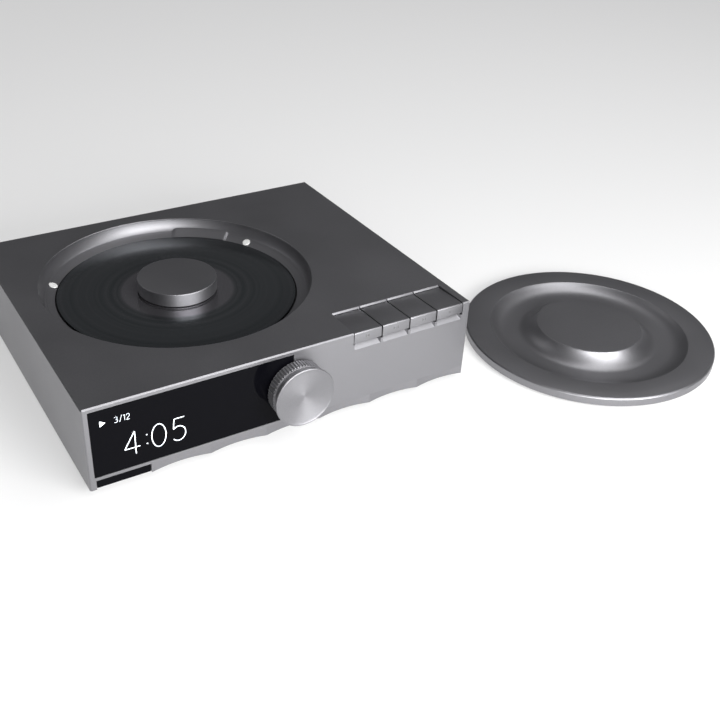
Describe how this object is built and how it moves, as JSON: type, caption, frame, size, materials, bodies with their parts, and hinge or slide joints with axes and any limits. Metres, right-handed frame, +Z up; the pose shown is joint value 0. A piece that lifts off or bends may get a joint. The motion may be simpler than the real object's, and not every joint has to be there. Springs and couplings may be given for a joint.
{
  "type": "top-loading cd player",
  "caption": "Compact top-loading disc player: milled housing with a round well, disc and clamp puck, display window, dished knob, press keys and a separate turned lid.",
  "frame": {"origin": "centre of the front left foot's underside, where it stands on the table", "axes": "+X to the player's right as seen from the front, +Y from the front to the back, +Z up"},
  "size_m": [0.3521, 0.2431, 0.0455],
  "materials": {
    "badge_insert": "black",
    "base_plate": "black",
    "base_screw_1": "blackened",
    "base_screw_2": "blackened",
    "base_screw_3": "blackened",
    "base_screw_4": "blackened",
    "coax_socket": "plated",
    "damper_1": "soft black",
    "damper_2": "soft black",
    "damper_3": "soft black",
    "damper_4": "soft black",
    "deck": "black",
    "disc": "mirror coated",
    "display_glass": "black glossy",
    "display_module": "black",
    "encoder": "black",
    "encoder_shaft": "ground",
    "feed_gear": "ivory",
    "feed_motor": "ground",
    "foot_1": "soft black",
    "foot_2": "soft black",
    "foot_3": "soft black",
    "foot_4": "soft black",
    "guide_rod_1": "ground",
    "guide_rod_2": "ground",
    "housing": "satin anodised",
    "key_1": "satin anodised",
    "key_2": "satin anodised",
    "key_3": "satin anodised",
    "key_4": "satin anodised",
    "key_board": "green laminate",
    "key_guide": "black",
    "knob": "satin anodised",
    "laser_sled": "black",
    "lid": "satin anodised",
    "lid_pad_1": "white",
    "lid_pad_2": "white",
    "lid_pad_3": "white",
    "line_socket_1": "plated",
    "line_socket_2": "plated",
    "main_board": "green laminate",
    "motor_pinion": "plated",
    "objective_lens": "coated",
    "optical_socket": "black",
    "output_board": "green laminate",
    "puck_body": "satin anodised",
    "puck_magnet": "plated",
    "rear_panel": "black",
    "rear_screw_1": "blackened",
    "rear_screw_2": "blackened",
    "spindle_motor": "ground",
    "turntable": "black",
    "usb_power_socket": "plated"
  },
  "bodies": {
    "chassis": {"badge_insert": "badge_insert", "base_plate": "base_plate", "base_screw_1": "base_screw_1", "base_screw_2": "base_screw_2", "base_screw_3": "base_screw_3", "base_screw_4": "base_screw_4", "coax_socket": "coax_socket", "damper_1": "damper_1", "damper_2": "damper_2", "damper_3": "damper_3", "damper_4": "damper_4", "deck": "deck", "display_glass": "display_glass", "display_module": "display_module", "encoder": "encoder", "feed_motor": "feed_motor", "foot_1": "foot_1", "foot_2": "foot_2", "foot_3": "foot_3", "foot_4": "foot_4", "guide_rod_1": "guide_rod_1", "guide_rod_2": "guide_rod_2", "housing": "housing", "key_board": "key_board", "key_guide": "key_guide", "lid_pad_1": "lid_pad_1", "lid_pad_2": "lid_pad_2", "lid_pad_3": "lid_pad_3", "line_socket_1": "line_socket_1", "line_socket_2": "line_socket_2", "main_board": "main_board", "optical_socket": "optical_socket", "output_board": "output_board", "rear_panel": "rear_panel", "rear_screw_1": "rear_screw_1", "rear_screw_2": "rear_screw_2", "spindle_motor": "spindle_motor", "usb_power_socket": "usb_power_socket"},
    "turntable": {"turntable": "turntable"},
    "disc": {"disc": "disc"},
    "puck": {"puck_body": "puck_body", "puck_magnet": "puck_magnet"},
    "sled": {"laser_sled": "laser_sled", "objective_lens": "objective_lens"},
    "feed_gear": {"feed_gear": "feed_gear"},
    "motor_pinion": {"motor_pinion": "motor_pinion"},
    "encoder_shaft": {"encoder_shaft": "encoder_shaft"},
    "knob": {"knob": "knob"},
    "lid": {"lid": "lid"},
    "key_1": {"key_1": "key_1"},
    "key_2": {"key_2": "key_2"},
    "key_3": {"key_3": "key_3"},
    "key_4": {"key_4": "key_4"}
  },
  "joints": [
    {"name": "turntable_spin", "type": "hinge", "parent": "chassis", "child": "turntable", "pos_m": [0.0583, 0.0695, 0.036], "axis": [0, 0, 1], "continuous": true},
    {"name": "disc_lift", "type": "slide", "parent": "turntable", "child": "disc", "axis": [0, 0, 1], "range_m": [0, 0.06]},
    {"name": "puck_lift", "type": "slide", "parent": "disc", "child": "puck", "axis": [0, 0, 1], "range_m": [0, 0.04]},
    {"name": "sled_feed", "type": "slide", "parent": "chassis", "child": "sled", "axis": [1, 0, 0], "range_m": [0, 0.034]},
    {"name": "feed_gear_spin", "type": "hinge", "parent": "chassis", "child": "feed_gear", "pos_m": [0.0988, 0.0424, 0.026], "axis": [0, 0, 1], "range_deg": [-348, 0]},
    {"name": "motor_pinion_spin", "type": "hinge", "parent": "chassis", "child": "motor_pinion", "pos_m": [0.08635, 0.03368, 0.026], "axis": [0, 0, 1], "range_deg": [0, 975]},
    {"name": "knob_push", "type": "slide", "parent": "chassis", "child": "encoder_shaft", "axis": [0, 1, 0], "range_m": [0, 0.0006], "stiffness_N_per_m": 600, "springref_m": -0.002},
    {"name": "knob_turn", "type": "hinge", "parent": "encoder_shaft", "child": "knob", "pos_m": [0.077, -0.026, 0.0264], "axis": [0, 1, 0], "continuous": true},
    {"name": "key_1_press", "type": "slide", "parent": "chassis", "child": "key_1", "axis": [0, 0, -1], "range_m": [0, 0.0006], "stiffness_N_per_m": 400, "springref_m": -0.002},
    {"name": "key_2_press", "type": "slide", "parent": "chassis", "child": "key_2", "axis": [0, 0, -1], "range_m": [0, 0.0006], "stiffness_N_per_m": 400, "springref_m": -0.002},
    {"name": "key_3_press", "type": "slide", "parent": "chassis", "child": "key_3", "axis": [0, 0, -1], "range_m": [0, 0.0006], "stiffness_N_per_m": 400, "springref_m": -0.002},
    {"name": "key_4_press", "type": "slide", "parent": "chassis", "child": "key_4", "axis": [0, 0, -1], "range_m": [0, 0.0006], "stiffness_N_per_m": 400, "springref_m": -0.002},
    {"name": "lid_lift", "type": "slide", "parent": "chassis", "child": "lid", "axis": [0, 0, 1], "range_m": [0, 0.05]}
  ],
  "couplings": [
    {"joint": "feed_gear_spin", "follows": "sled_feed", "rad_per_m": -178.57},
    {"joint": "motor_pinion_spin", "follows": "sled_feed", "rad_per_m": 500}
  ]
}
